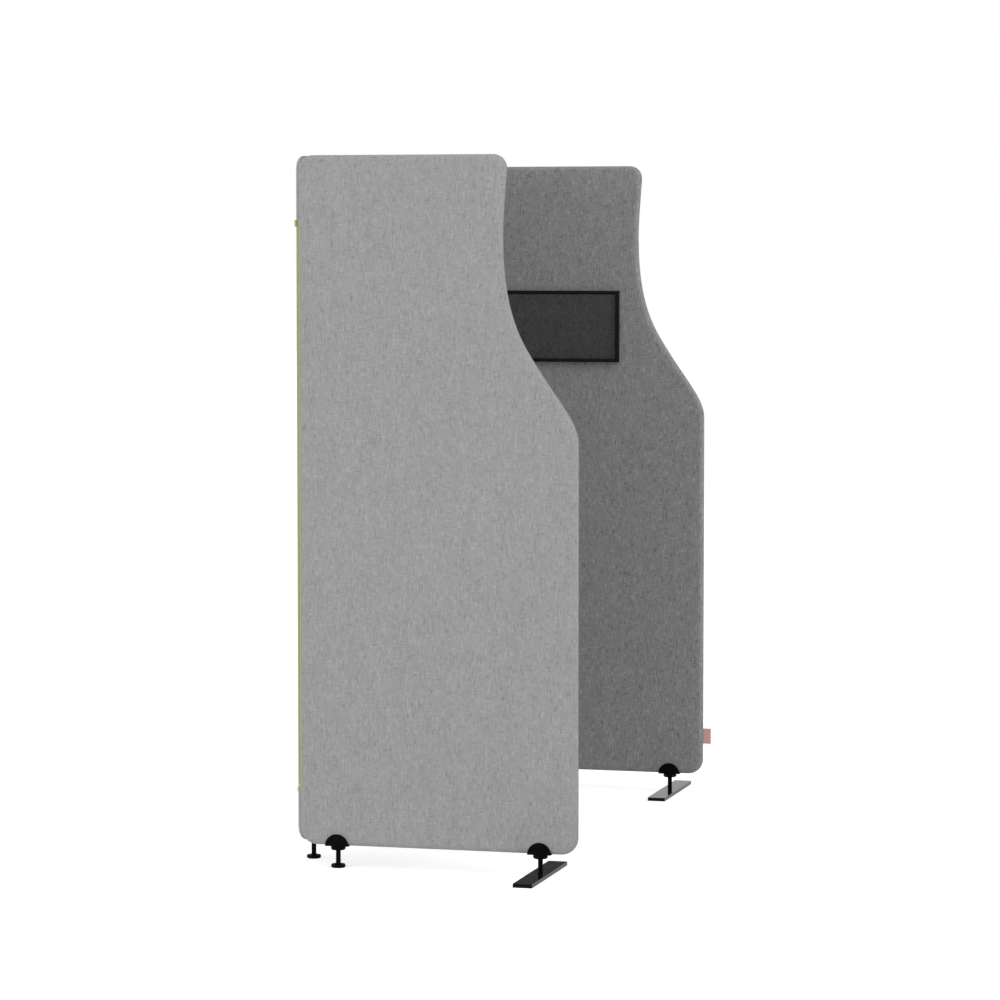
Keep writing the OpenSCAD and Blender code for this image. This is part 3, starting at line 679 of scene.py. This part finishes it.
def edge_profile(half, groove, groove_width, steps=24):
    """(inset, y) from one face over the rounded edge with its drawn-in seam to the other face."""
    round_part = []
    for k in range(steps + 1):
        a = math.radians(-90 + 180 * k / steps)
        y = half * math.sin(a)
        draw = groove * math.exp(-(y / groove_width) ** 2)
        round_part.append((half * (1 - math.cos(a)) + draw, y))
    face = [(half + inset, -half) for inset in FACE_LOOPS]
    return face + round_part + [(inset, -y) for inset, y in face[::-1]]


def cover_mesh(panel, outline, size):
    profile = edge_profile(panel.thick / 2, size.groove, size.groove_width)

    def build(bm):
        close_rings(bm, [[(panel.gap + x - inset * nx, y, z - inset * nz) for x, z, nx, nz in outline]
                         for inset, y in profile])
        for face in bm.faces:
            # Faces that look into the nook take the second finish, whose darker yarn is painted shade
            face.material_index = int(face.calc_center_median().y * panel.nook > 0)
        bmesh.ops.transform(bm, matrix=panel.place, verts=bm.verts)
    return mesh_of(panel.name + "_fabric", build)


def seam_paths(panel, outline, size):
    """The open runs of the edge seam that no zip tape covers, as lists of points."""
    low, high = bpy.context.scene.divider_zip.bottom - SEAM_GAP, zip_top() + SEAM_GAP
    inset = size.groove * STITCH_DEPTH_SHARE
    points = [Vector((panel.gap + x - inset * nx, 0, z - inset * nz)) for x, z, nx, nz in outline]
    first = panel.gap + inset
    last = panel.gap + panel.width - inset
    if panel.wave:
        return [[Vector((first, 0, low))] + points + [Vector((first, 0, high))]]
    corner = len(points) // 4
    bottom = [Vector((first, 0, low))] + points[:2 * corner] + [Vector((last, 0, low))]
    top = [Vector((last, 0, high))] + points[2 * corner:] + [Vector((first, 0, high))]
    return [bottom, top]


def stitch_mesh(name, span, radius):
    """One stitch of thread along x: a short bead with closed ends."""
    shares = ((-0.5, 0.25), (-0.38, 0.85), (0, 1), (0.38, 0.85), (0.5, 0.25))
    return skin(name, [[(share * span, y, z) for y, z in ring(radius * wide, 6)]
                       for share, wide in shares], smooth=True)


def stitched(name, piece, paths, pitch, place, thread):
    """Stitches along open paths, turned along them, as one plain mesh."""
    mesh = bpy.data.meshes.new(name + "_path")
    verts, edges = [], []
    for path in paths:
        start = len(verts)
        verts += [place @ p for p in path]
        edges += [(start + i, start + i + 1) for i in range(len(path) - 1)]
    mesh.from_pydata(verts, edges, [])
    return grown(name, path_tree(), {"Piece": piece, "Pitch": pitch, "Finish": thread}, mesh)


class DIVIDER_OT_covers(bpy.types.Operator):
    """Fabric covers with their edge seams and stitches"""
    bl_idname = "divider.covers"
    bl_label = "Fabric covers"

    def execute(self, context):
        size = context.scene.divider_panel
        stitch = source(stitch_mesh("seam_stitch", span=3.0 * MM, radius=0.36 * MM))
        for panel in PANELS.values():
            outline = outline_of(panel, size)
            mesh = cover_mesh(panel, outline, size)
            # The second finish paints shade on the faces that look into the nook
            cover = new_object(panel.name + "_fabric", mesh, outer_fabric(), nook_fabric())
            wall = cover.modifiers.new("Wall", "SOLIDIFY")
            wall.thickness, wall.offset, wall.use_even_offset = size.cover, -1, True
            carried(settled(cover), panel.body, "cover_fabric", panel.name + "_cover")
            seam = stitched(panel.name + "_edge_stitches", stitch, seam_paths(panel, outline, size),
                            size.stitch_pitch, panel.place, seam_thread())
            carried(seam, panel.body, "cover_fabric")
        drop(stitch)
        dress(plywood(), "_frame")
        dress(felt(), "_core")
        return {"FINISHED"}


# Zips

# Each half is drawn with x from the seam's axis towards its panel, and z up from the panels' edge.

# From a zip's bottom to the first place of its chain, and to where the room for the box ends
CHAIN_START = 19.6 * MM
BOX_ROOM = 12.3 * MM
# From a zip's top down to where its teeth and its tape's cord end
CHAIN_END = 3.3 * MM
CORD_END = 3.2 * MM


def zip_top():
    """Height of the zips' top above the panels' edge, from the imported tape."""
    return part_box("left_side_zip_tape")[1].z - PANELS["left_side"].base


def half_place(name):
    """Matrix of a zip half, the gap from the seam's axis to its panel, and the panel."""
    panel_name, far, _ = ZIP_HALVES[name]
    panel = PANELS[panel_name]
    if not far:
        return panel.place, panel.gap, panel
    reach = abs(SEAMS["middle_hinge"].x - SEAMS["left_corner_hinge"].x)
    place = panel.place @ Matrix.Translation((reach, 0, 0)) @ Matrix.Rotation(math.pi, 4, "Z")
    return place, reach - panel.gap - panel.width, panel


def on_edge(gap, half, above, side, angle):
    """A point at a height above the panel's rounded edge, on its side y > 0 or y < 0."""
    a, reach = math.radians(angle), half + above
    return gap + half - reach * math.cos(a), side * reach * math.sin(a)


def flap_outline(gap, half, side):
    """Section of one sewn flap that wraps the panel's rounded edge. Its angles are in degrees."""
    under, over = 0.1 * MM, 0.7 * MM
    first, sweep, steps = 2, 49, 9
    angles = [first + sweep * i / steps for i in range(steps + 1)]
    return ([on_edge(gap, half, over, side, angle) for angle in angles]
            + [on_edge(gap, half, under, side, angle) for angle in angles[::-1]])


def tape_mesh(name, gap, half, low, high, holds_box):
    """Tape from its teeth to the flaps, with a corded edge. The half with the pin leaves room for the box."""
    start, box_start, thin, thick = 1.2 * MM, 3.6 * MM, 0.34 * MM, 0.9 * MM
    cord, cord_x, cord_low = 0.62 * MM, 3.3 * MM, 13 * MM
    seat = gap + 0.05 * MM
    flare = seat - 0.8 * MM
    strip = [(start, -thin), (flare, -thin), (seat, -thick), (seat, thick), (flare, thin), (start, thin)]

    def build(bm):
        room = low if holds_box else low + BOX_ROOM
        if not holds_box:
            tube(bm, [(max(x, box_start), y) for x, y in strip], low, room)
        tube(bm, strip, room, high)
        for side in (-1, 1):
            tube(bm, flap_outline(gap, half, side), low, high)
        tube(bm, ring(cord, 10, (cord_x, 0)), low + cord_low, high - CORD_END)
    return mesh_of(name, build, smooth=False)


def tooth_mesh(height):
    """One moulded tooth: a tapered nose towards the seam's axis and a body over the tape's cord.

    Its outline is in millimetres, and its layers are shares of its height and of that outline.
    """
    middle = 2.0
    side = [(-0.75, -0.5), (-0.5, -0.8), (0.3, -0.95), (1.2, -0.8), (1.9, -1.1), (3.6, -1.1), (3.9, -0.7)]
    outline = side + [(x, -y) for x, y in side[::-1]]
    layers = ((0, 0.9), (0.18, 1), (0.82, 1), (1, 0.9))
    return skin("zip_tooth", [[((middle + (x - middle) * share) * MM, y * share * MM, (up - 0.5) * height)
                               for x, y in outline] for up, share in layers])


def top_stop(bm, high):
    near, far, half, tall = 1.4 * MM, 3.9 * MM, 1.2 * MM, 3 * MM
    block(bm, (near, -half, high - tall), (far, half, high))


def retainer_box(bm, low):
    """A bored barrel that takes the pin, and the grip that holds it to its own tape."""
    bore, barrel, tall, chamfer = 1.05 * MM, 3.2 * MM, 12 * MM, 0.4 * MM
    steps = ((bore, 0), (barrel - chamfer, 0), (barrel, chamfer), (barrel, tall - chamfer),
             (barrel - chamfer, tall), (bore, tall))
    close_rings(bm, [[(x, y, low + up) for x, y in ring(radius, 24)] for radius, up in steps], "joined")
    near, far, half, back = 2.9 * MM, 5.8 * MM, 1.3 * MM, 0.6 * MM
    block(bm, (near, -half, low + back), (far, half, low + tall - back))


def insertion_pin(bm, low):
    """The pin below the chain, and the arm that holds it to its tape."""
    radius, clear, arm, half, tall = 1.0 * MM, 0.3 * MM, 4.6 * MM, 1.0 * MM, 7 * MM
    top = low + CHAIN_START - clear
    tube(bm, ring(radius, 20), low, top)
    block(bm, (0, -half, top - tall), (arm, half, top))


def zip_ends_mesh(name, holds_box, low, high):
    def build(bm):
        top_stop(bm, high)
        if holds_box:
            retainer_box(bm, low)
        else:
            insertion_pin(bm, low)
    return mesh_of(name, build, smooth=False)


def chain_half(name, tooth, place, holds_box, size):
    """The row of teeth on one tape, half a pitch above or below the row that it meshes with."""
    first = size.bottom + CHAIN_START + size.tooth_pitch * (0.75 if holds_box else 0.25)
    return grown(name, row_tree(), {
        "Piece": tooth, "Start": place @ Vector((0, 0, first)), "Step": (0, 0, size.tooth_pitch),
        "Count": int((zip_top() - CHAIN_END - first) / size.tooth_pitch), "Turn": place.to_euler(),
        "Finish": tooth_resin()})


def flap_rows(gap, half, low, high):
    """The two rows of stitches along the flaps, just above their outer face."""
    above, angle, end = 0.72 * MM, 44, 2 * MM
    rows = []
    for side in (-1, 1):
        x, y = on_edge(gap, half, above, side, angle)
        rows.append([Vector((x, y, low + end)), Vector((x, y, high - end))])
    return rows


class DIVIDER_OT_zips(bpy.types.Operator):
    """Zip tapes with their stitches, teeth, stops, boxes and pins, and the finish of sliders and pulls"""
    bl_idname = "divider.zips"
    bl_label = "Zips"

    def execute(self, context):
        size = context.scene.divider_zip
        low, high = size.bottom, zip_top()
        tooth = source(tooth_mesh(size.tooth_height))
        stitch = source(stitch_mesh("tape_stitch", span=3.1 * MM, radius=0.32 * MM))
        for name, (_, _, holds_box) in ZIP_HALVES.items():
            place, gap, panel = half_place(name)
            half = panel.thick / 2
            fitted(tape_mesh(name + "_ribbon", gap, half, low, high, holds_box), place, tape_ribbon(),
                   panel.body, "zip_tape", name)
            # Stops, boxes and pins take the lacquer that is lightened with painted light
            fitted(zip_ends_mesh(name + "_stops", holds_box, low, high), place, zip_lacquer(),
                   panel.body, "zip_metal")
            carried(chain_half(name + "_teeth", tooth, place, holds_box, size), panel.body, "zip_metal")
            sewn = stitched(name + "_stitches", stitch, flap_rows(gap, half, low, high),
                            size.stitch_pitch, place, tape_thread())
            carried(sewn, panel.body, "zip_tape")
        drop(tooth, stitch)
        # Sliders and pulls take the lacquer that is lightened with painted light
        dress(zip_lacquer(), "_zip_slider", "_zip_pull")
        return {"FINISHED"}


# Feet

# Screws and nuts are drawn in millimetres about the foot's stem, with z up from the panel's edge.

# Points round the middle of a screw or nut
ROUND = 24


def hexagon(flat):
    """A hexagon as points (x, y), in the directions of the points of a ring."""
    third = math.pi / 3
    points = []
    for a in (2 * math.pi * i / ROUND for i in range(ROUND)):
        reach = flat / math.cos((a + third / 2) % third - third / 2)
        points.append((reach * math.cos(a), reach * math.sin(a)))
    return points


def foot_screw(bm, x, side):
    """A socket head cap screw through both jaws, its head on the given side of the panel."""
    height, shank, head, socket = -5.8, 1.75, 3.0, 1.3
    tip, seat, face, rim, deep = -8.0, 9.0, 11.4, 0.3, 1.4
    steps = ((tip, shank), (seat, shank), (seat, head), (face - rim, head), (face, head - rim))
    sections = ([(y, ring(radius, ROUND)) for y, radius in steps]
                + [(y, hexagon(socket)) for y in (face, face - deep)])
    close_rings(bm, [[((x + across) * MM, side * y * MM, (height + up) * MM) for across, up in points]
                     for y, points in sections])


def foot_screws(bm, reach, side):
    for x in (-reach / MM, reach / MM):
        foot_screw(bm, x, side)


def foot_nut(bm):
    """The captive hexagon nut in the collar, bored for the stud of the foot."""
    low, high, flat, bore = -8.0, -1.7, 6.5, 4.05
    inner, outer = ring(bore, ROUND), hexagon(flat)
    close_rings(bm, [[(x * MM, y * MM, z * MM) for x, y in points] for points, z in (
        (inner, low), (outer, low), (outer, high), (inner, high))], "joined")


class DIVIDER_OT_feet(bpy.types.Operator):
    """Clamp screws and nuts, and the finish of jaws, glides, stems and stabiliser bars"""
    bl_idname = "divider.feet"
    bl_label = "Feet"

    def execute(self, context):
        size = context.scene.divider_feet
        for panel in PANELS.values():
            start = panel.place @ Vector((panel.gap + size.inset, 0, 0))
            step = panel.place.to_3x3() @ Vector((panel.width - 2 * size.inset, 0, 0))
            for name, build, material, nodes in (
                    ("clamp_screws", lambda bm: foot_screws(bm, size.screw_reach, panel.nook),
                     black_oxide(), (panel.name + "_jaw_fasteners",)),
                    ("clamp_nuts", foot_nut, zinc(), ())):
                hardware = source(mesh_of(name, build, smooth=False))
                row = grown(panel.name + "_" + name, row_tree(), {
                    "Piece": hardware, "Start": start, "Step": step, "Count": 2,
                    "Turn": panel.place.to_euler(), "Finish": material})
                carried(row, panel.body, "fastener_steel", *nodes)
                drop(hardware)
        dress(black_plastic(), "_jaws", "_glide_pad", "_glide_stud", "_bar_stem")
        dress(black_coat(), "_bar")
        dress(zinc(), "_bar_screw")
        return {"FINISHED"}


# Pocket and tab

class Pocket:
    """The pocket's place and sizes: x across it, y out of the panel's face, z up."""

    # Width of the binding at each side, at the top and at the foot, and its thickness
    side, top, foot, thick = 9.2 * MM, 10 * MM, 9 * MM, 1.6 * MM
    body = "right_side_panel"

    def __init__(self):
        low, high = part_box("pocket_binding")
        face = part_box("pocket_gusset")[1].x
        self.width, self.height, self.depth = high.y - low.y, high.z - low.z, face - low.x
        self.place = Matrix.Translation((face, low.y, low.z)) @ Matrix.Rotation(math.pi / 2, 4, "Z")

    def corners(self, share):
        """The binding's four corners, at a share of its width inwards, as (x, z)."""
        left, right = self.side * share, self.width - self.side * share
        low, high = self.foot * share, self.height - self.top * share
        return [(left, low), (right, low), (right, high), (left, high)]


def binding_mesh(pocket):
    """Four mitred bands with a crowned section."""
    steps, edge_share, fullness = 9, 0.35, 0.45
    back = pocket.depth - pocket.thick
    section = []
    for angle in (math.pi * i / steps for i in range(steps + 1)):
        crown = math.sin(angle) ** fullness
        section.append((0.5 - 0.5 * math.cos(angle),
                        back + pocket.thick * (edge_share + (1 - edge_share) * crown)))
    section += [(1.0, back), (0.0, back)]
    return skin("pocket_bound_edge", [[(x, y, z) for x, z in pocket.corners(share)]
                                      for share, y in section], ends="joined")


def gusset_mesh(pocket):
    """Folded side and bottom bands between the panel and the net, drawn in half-way."""
    steps, band, draw, behind = 6, 1.2 * MM, 0.8 * MM, 1.0 * MM
    width, height = pocket.width, pocket.height
    reach = pocket.depth - pocket.thick - behind
    outside = [(0, height), (0, 0), (width, 0), (width, height)]
    inside = [(band, height), (band, band), (width - band, band), (width - band, height)]
    rings = []
    for k in range(steps + 1):
        pull = draw * math.sin(math.pi * k / steps)
        rings.append([(x + (pull if x < width / 2 else -pull), reach * k / steps,
                       z + (pull if z < height / 2 else 0)) for x, z in outside + inside[::-1]])
    return skin("pocket_side_bands", rings)


def net_cell(pitch, strand):
    """Two crossing strands of the net, from one knot to the next two."""
    half, out = pitch / 2, Vector((0, 0, 0.25 * MM))

    def build(bm):
        for way in (-1, 1):
            run = Vector((way * half, half, 0))
            across = Vector((half, -way * half, 0)).normalized() * strand / 2
            close_rings(bm, [[end + p for p in (across, out, -across, -out)]
                             for end in (Vector((0, 0, 0)), run)], "open")
    return mesh_of("net_cell", build)


def pocket_net(pocket, pitch, strand):
    """The open net behind the binding, which overlaps it by a few millimetres."""
    under, behind = 6 * MM, 0.5 * MM
    bands = pocket.top + pocket.foot
    columns = int((pocket.width - 2 * pocket.side + under) / pitch)
    rows = int((pocket.height - bands + under) / pitch)
    middle = Vector((pocket.width / 2, pocket.depth - pocket.thick - behind,
                     (pocket.height + pocket.foot - pocket.top) / 2))
    knot = source(net_cell(pitch, strand))
    net = grown("pocket_net", lattice_tree(), {
        "Piece": knot, "Width": (columns - 1) * pitch, "Height": (rows - 1) * pitch,
        "Columns": columns, "Rows": rows, "Centre": (0, 0, 0), "Stagger": (pitch / 2, 0, pitch / 2),
        "Turn": Matrix.Rotation(math.pi / 2, 4, "X").to_euler(), "Finish": net_yarn()})
    drop(knot)
    net.data.transform(pocket.place @ Matrix.Translation(middle - Vector((pitch / 4, 0, pitch / 4))))
    return net


def binding_stitches(pocket, pitch):
    """One row of stitches round the binding, nearer its inner edge."""
    row_share, above = 0.75, 0.02 * MM
    corners = pocket.corners(row_share)
    loop = [Vector((x, pocket.depth + above, z)) for x, z in corners + corners[:1]]
    stitch = source(stitch_mesh("binding_stitch", span=3.2 * MM, radius=0.30 * MM))
    sewn = stitched("pocket_stitches", stitch, [loop], pitch, pocket.place, black_ribbon())
    drop(stitch)
    return sewn


class DIVIDER_OT_pocket(bpy.types.Operator):
    """Mesh pocket: net, gusset, bound edges and their stitches"""
    bl_idname = "divider.pocket"
    bl_label = "Mesh pocket"

    def execute(self, context):
        size, pocket = context.scene.divider_pocket, Pocket()
        for mesh, node in ((binding_mesh(pocket), "pocket_binding"), (gusset_mesh(pocket), "pocket_gusset")):
            fitted(mesh, pocket.place, black_ribbon(), pocket.body, "pocket_fabric", node)
        carried(pocket_net(pocket, size.mesh_pitch, size.strand), pocket.body, "pocket_mesh", "pocket_mesh")
        carried(binding_stitches(pocket, size.stitch_pitch), pocket.body, "pocket_fabric")
        return {"FINISHED"}


def tab_mesh(low, high):
    """A strip folded back on itself round a small bead of air, with soft woven edges."""
    layer, fold, soft, narrow_share = 0.8 * MM, 0.2 * MM, 0.4 * MM, 0.9
    cuts, bends = 6, 10
    outer_r, middle = fold + layer, (low.x + high.x) / 2
    bend_y = low.y + outer_r
    run = high.y - bend_y
    ends = [run * i / cuts for i in range(cuts + 1)]
    turn = [math.pi * (1 + i / bends) for i in range(bends + 1)]
    outside = ([(-outer_r, y) for y in ends[:0:-1]]
               + [(outer_r * math.cos(a), outer_r * math.sin(a)) for a in turn]
               + [(outer_r, y) for y in ends[1:]])
    inside = ([(fold, y) for y in ends[:0:-1]]
              + [(fold * math.cos(a), fold * math.sin(a)) for a in turn[::-1]]
              + [(-fold, y) for y in ends[1:]])
    layers = ((low.z, narrow_share), (low.z + soft, 1), (high.z - soft, 1), (high.z, narrow_share))
    return skin("folded_tab", [[(middle + x * wide, bend_y + y, z) for x, y in outside + inside]
                               for z, wide in layers])


class DIVIDER_OT_tab(bpy.types.Operator):
    """Bare folded tab in the seam of the right side panel"""
    bl_idname = "divider.tab"
    bl_label = "Tab"

    def execute(self, context):
        tab = new_object("folded_tab", tab_mesh(*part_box("fabric_tab")), tab_ribbon())
        carried(tab, "right_side_panel", "tab_fabric", "fabric_tab")
        return {"FINISHED"}


# Studio

def paper_rays(tree):
    """1 for the rays that see white paper: straight from the camera, or by way of metal or glass."""
    rays = tree.nodes.new("ShaderNodeLightPath").outputs
    seen = math_node(tree, "MAXIMUM", rays["Is Camera Ray"], rays["Is Glossy Ray"])
    return math_node(tree, "MAXIMUM", seen, rays["Is Transmission Ray"])


def floor_paint():
    """Matt floor that the camera sees as white paper with the object's soft shadow."""
    paper_glow = 0.54
    material = bpy.data.materials.new("studio_floor")
    material.use_nodes = True
    tree = material.node_tree
    shader = tree.nodes["Principled BSDF"].inputs
    for label, value in (("Base Color", grey(0.88)), ("Roughness", 0.9), ("Specular IOR Level", 0),
                         ("Emission Color", grey(1))):
        shader[label].default_value = value
    glow = math_node(tree, "MULTIPLY", paper_rays(tree), paper_glow)
    tree.links.new(glow, shader["Emission Strength"])
    return material


def studio_floor(reach):
    mesh = bpy.data.meshes.new("studio_floor")
    corners = [(-reach, -reach, 0), (reach, -reach, 0), (reach, reach, 0), (-reach, reach, 0)]
    mesh.from_pydata(corners, [], [(0, 1, 2, 3)])
    new_object("studio_floor", mesh, floor_paint())


def world_light(scene, strength):
    """Even light of the given strength, and white paper of strength 1 where it is seen."""
    world = bpy.data.worlds.new("studio")
    scene.world = world
    world.use_nodes = True
    tree = world.node_tree
    light = tree.nodes["Background"]
    light.inputs["Color"].default_value = grey(1)
    light.inputs["Strength"].default_value = strength
    paper = node(tree, "ShaderNodeBackground", {"Color": grey(1), "Strength": 1})
    mix = node(tree, "ShaderNodeMixShader", {
        0: paper_rays(tree), 1: light.outputs["Background"], 2: paper.outputs["Background"]})
    tree.links.new(mix.outputs["Shader"], tree.nodes["World Output"].inputs["Surface"])


def placed(scene, name, data, where, sight):
    """A lamp or a camera at its place, looking along its line of sight."""
    stand = bpy.data.objects.new(name, data)
    scene.collection.objects.link(stand)
    stand.location = where
    stand.rotation_euler = sight.to_track_quat("-Z", "Y").to_euler()
    return stand


class DIVIDER_OT_stage(bpy.types.Operator):
    """Pale floor, even light and the camera"""
    bl_idname = "divider.stage"
    bl_label = "Studio"

    def execute(self, context):
        scene, size = context.scene, context.scene.divider_stage
        studio_floor(size.floor_reach)
        world_light(scene, size.fill)
        for name, energy, where in (("key_lamp", size.key, Vector(size.key_place)),
                                    ("side_lamp", size.side, Vector(size.side_place))):
            lamp = bpy.data.lights.new(name, "AREA")
            lamp.shape, lamp.size, lamp.energy = "DISK", size.lamp_size, energy
            placed(scene, name, lamp, where, Vector(size.aim) - where)
        view = bpy.data.cameras.new("photo_camera")
        view.lens, view.sensor_width = size.lens, 36
        view.clip_start, view.clip_end = 0.1, 200
        scene.camera = placed(scene, "photo_camera", view, size.camera, Vector(size.sight))
        scene.view_settings.view_transform = "Standard"
        return {"FINISHED"}


class DIVIDER_PT_panel(bpy.types.Panel):
    """Builds the screen piece by piece"""
    bl_label = "Divider screen"
    bl_idname = "DIVIDER_PT_panel"
    bl_space_type = "VIEW_3D"
    bl_region_type = "UI"
    bl_category = "Divider Screen"

    def draw(self, context):
        for operator in OPERATORS:
            self.layout.operator(operator.bl_idname)


OPERATORS = (DIVIDER_OT_covers, DIVIDER_OT_zips, DIVIDER_OT_feet, DIVIDER_OT_pocket, DIVIDER_OT_tab,
             DIVIDER_OT_stage)
CLASSES = (*SETTINGS.values(), *OPERATORS, DIVIDER_PT_panel)


def register():
    for cls in CLASSES:
        bpy.utils.register_class(cls)
    for name, cls in SETTINGS.items():
        setattr(bpy.types.Scene, name, PointerProperty(type=cls))


def unregister():
    for name in SETTINGS:
        delattr(bpy.types.Scene, name)
    for cls in reversed(CLASSES):
        bpy.utils.unregister_class(cls)


def main():
    register()
    bpy.ops.divider.covers()
    bpy.ops.divider.zips()
    bpy.ops.divider.feet()
    bpy.ops.divider.pocket()
    bpy.ops.divider.tab()
    bpy.ops.divider.stage()


if __name__ == "__main__":
    main()
